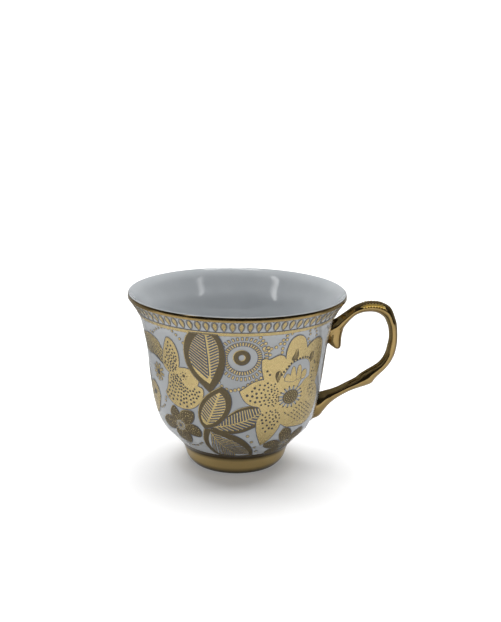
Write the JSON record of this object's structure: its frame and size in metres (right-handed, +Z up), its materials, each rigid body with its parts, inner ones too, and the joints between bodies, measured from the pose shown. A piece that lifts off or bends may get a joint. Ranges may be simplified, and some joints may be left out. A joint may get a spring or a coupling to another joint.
{
  "type": "teacup",
  "caption": "Flared porcelain teacup on a low gilded foot, with a gilded scroll handle, a gold lip and printed gold flowers and leaves.",
  "frame": {"origin": "midway between the rim's left side and the handle's far side, on the plane the foot stands on; the bowl's axis is 11.09 mm towards -X", "axes": "+X runs from the bowl towards the handle, +Y across the handle, +Z up along the bowl's axis"},
  "size_m": [0.1122, 0.09, 0.0735],
  "materials": {
    "glazed_porcelain": "clear glossy glaze over white porcelain with a cool grey tone",
    "bare_porcelain": "unglazed ground foot ring",
    "bright_gilding": "mirror bright liquid gold fired on the glaze",
    "printed_gold": "satin gold transfer print in a pale and a dark gold with a grey keyline",
    "gilded_slip": "fired slip under the handle roots, gilded over"
  },
  "bodies": {
    "root": {"bowl": "glazed_porcelain", "foot_ring": "bare_porcelain", "foot_gilding": "bright_gilding", "floral_transfer": "printed_gold", "border_transfer": "printed_gold", "rim_gilding": "bright_gilding", "handle": "bright_gilding", "upper_slip_bead": "gilded_slip", "lower_slip_bead": "gilded_slip"}
  },
  "joints": []
}
